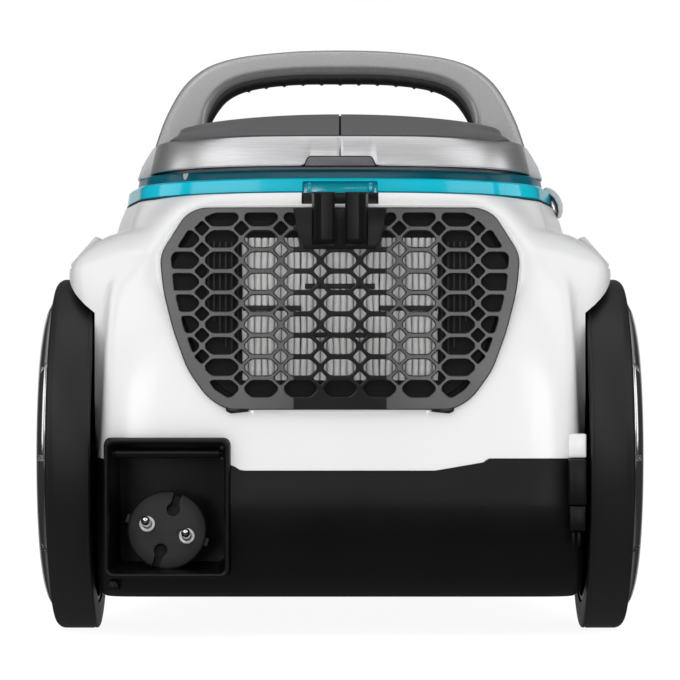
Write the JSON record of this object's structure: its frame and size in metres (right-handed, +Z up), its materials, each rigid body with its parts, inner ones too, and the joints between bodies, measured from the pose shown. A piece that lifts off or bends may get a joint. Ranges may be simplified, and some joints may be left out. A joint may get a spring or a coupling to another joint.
{
  "type": "canister vacuum cleaner",
  "caption": "Bagless canister vacuum cleaner with large rear wheels, an arched carrying handle on the lid, a rear exhaust grille and a mains plug parked in a bay.",
  "frame": {"origin": "on the floor, midway along and across the object's box", "axes": "+Z up, +Y from the rear grille towards the hose inlet at the front, +X to the right seen from behind"},
  "size_m": [0.2816, 0.4, 0.2731],
  "materials": {
    "white_gloss": "white gloss moulded plastic",
    "black_satin": "black satin moulded plastic",
    "tyre_rubber": "dark soft tread",
    "grey_metallic": "satin metallic grey plastic",
    "dark_grey": "dark grey satin plastic",
    "silver_band": "fine brushed silver trim",
    "teal_clear": "translucent teal plastic",
    "pleat_grey": "pleated filter paper",
    "soft_black": "soft black plastic",
    "chrome": "bright plated metal",
    "steel": "steel",
    "motor_grey": "grey motor casing",
    "light_grey": "light grey moulded plastic",
    "board_green": "circuit board",
    "foam_grey": "filter foam"
  },
  "bodies": {
    "canister": {"base_pan": "black_satin", "upper_housing": "white_gloss", "plug_bay": "black_satin", "cord_eyelet": "soft_black", "cord_feed": "soft_black", "reel_axle": "steel", "motor_body": "motor_grey", "fan_shroud": "motor_grey", "air_duct": "black_satin", "motor_seal": "soft_black", "motor_mount_ring": "soft_black", "motor_deck": "black_satin", "circuit_board": "board_green", "power_switch": "black_satin", "filter_frame": "soft_black", "filter_pleats": "pleat_grey", "axle_left": "steel", "axle_right": "steel", "hose_socket": "black_satin", "socket_seal": "soft_black", "housing_screw_left": "steel", "housing_screw_right": "steel"},
    "grille": {"rear_grille": "black_satin", "parking_slot": "black_satin"},
    "wheel_left": {"tyre_left": "tyre_rubber", "wheel_rim_left": "black_satin", "hub_cap_left": "chrome"},
    "wheel_right": {"tyre_right": "tyre_rubber", "wheel_rim_right": "black_satin", "hub_cap_right": "chrome"},
    "caster_swivel": {"caster_fork": "black_satin", "caster_axle": "steel"},
    "caster_roller": {"caster_wheel": "tyre_rubber"},
    "bin": {"bin_tub": "teal_clear", "bin_seal": "soft_black", "cyclone_shroud": "light_grey", "cyclone_cone": "teal_clear", "foam_filter": "foam_grey", "lid_hinge_pin": "steel"},
    "lid": {"lid_cover": "dark_grey", "lid_band": "silver_band", "lid_frame": "light_grey", "handle_frame": "grey_metallic", "handle_grip": "soft_black"},
    "latch": {"lid_latch": "dark_grey"},
    "lever": {"bin_release_lever": "light_grey"},
    "power_button": {"power_pedal": "light_grey"},
    "rewind_button": {"rewind_pedal": "light_grey"},
    "plug": {"mains_plug": "soft_black", "pin_carrier": "light_grey", "plug_pin_left": "chrome", "plug_pin_right": "chrome", "cord_lead": "soft_black"},
    "reel": {"reel_drum": "light_grey", "cord_winding": "soft_black", "rewind_spring": "steel"},
    "brake": {"reel_brake": "black_satin"},
    "fan": {"motor_fan": "steel"},
    "roller": {"cord_roller": "black_satin"}
  },
  "joints": [
    {"name": "wheel_left_roll", "type": "hinge", "parent": "canister", "child": "wheel_left", "pos_m": [-0.124, -0.11, 0.082], "axis": [1, 0, 0], "continuous": true},
    {"name": "wheel_right_roll", "type": "hinge", "parent": "canister", "child": "wheel_right", "pos_m": [0.124, -0.11, 0.082], "axis": [1, 0, 0], "continuous": true},
    {"name": "caster_turn", "type": "hinge", "parent": "canister", "child": "caster_swivel", "pos_m": [0, 0.132, 0.04], "axis": [0, 0, 1], "continuous": true},
    {"name": "caster_roll", "type": "hinge", "parent": "caster_swivel", "child": "caster_roller", "pos_m": [0, 0.121, 0.014], "axis": [1, 0, 0], "continuous": true},
    {"name": "bin_lift", "type": "slide", "parent": "canister", "child": "bin", "axis": [0, 0, 1], "range_m": [0, 0.16]},
    {"name": "lid_open", "type": "hinge", "parent": "bin", "child": "lid", "pos_m": [0, 0.119, 0.214], "axis": [-1, 0, 0], "range_deg": [0, 75]},
    {"name": "lid_latch_press", "type": "slide", "parent": "lid", "child": "latch", "axis": [0, 1, 0], "range_m": [0, 0.003], "stiffness_N_per_m": 400},
    {"name": "release_lever_turn", "type": "hinge", "parent": "bin", "child": "lever", "pos_m": [0.0992, -0.062, 0.2095], "axis": [0, -1, 0], "range_deg": [0, 18], "stiffness_Nm_per_rad": 0.15},
    {"name": "grille_open", "type": "hinge", "parent": "canister", "child": "grille", "pos_m": [0, -0.1886, 0.1046], "axis": [1, 0, 0], "range_deg": [0, 80]},
    {"name": "power_press", "type": "slide", "parent": "canister", "child": "power_button", "axis": [-0.7519, 0, -0.6592], "range_m": [0, 0.0025], "stiffness_N_per_m": 800},
    {"name": "rewind_press", "type": "slide", "parent": "canister", "child": "rewind_button", "axis": [0.7519, 0, -0.6592], "range_m": [0, 0.0025], "stiffness_N_per_m": 800},
    {"name": "brake_release", "type": "hinge", "parent": "canister", "child": "brake", "pos_m": [0.088, -0.04, 0.0305], "axis": [0, 0, 1], "range_deg": [0, 6]},
    {"name": "plug_pull", "type": "slide", "parent": "canister", "child": "plug", "axis": [0, -1, 0], "range_m": [0, 0.06]},
    {"name": "reel_turn", "type": "hinge", "parent": "canister", "child": "reel", "pos_m": [0.025, -0.095, 0.045], "axis": [0, 0, 1], "range_deg": [0, 58]},
    {"name": "fan_spin", "type": "hinge", "parent": "canister", "child": "fan", "pos_m": [0, -0.058, 0.13], "axis": [0, 1, 0], "continuous": true},
    {"name": "cord_roller_spin", "type": "hinge", "parent": "canister", "child": "roller", "pos_m": [-0.0782, -0.184, 0.0843], "axis": [1, 0, 0], "continuous": true}
  ],
  "couplings": [
    {"joint": "brake_release", "follows": "rewind_press", "rad_per_m": 40},
    {"joint": "reel_turn", "follows": "plug_pull", "rad_per_m": 16.667}
  ]
}
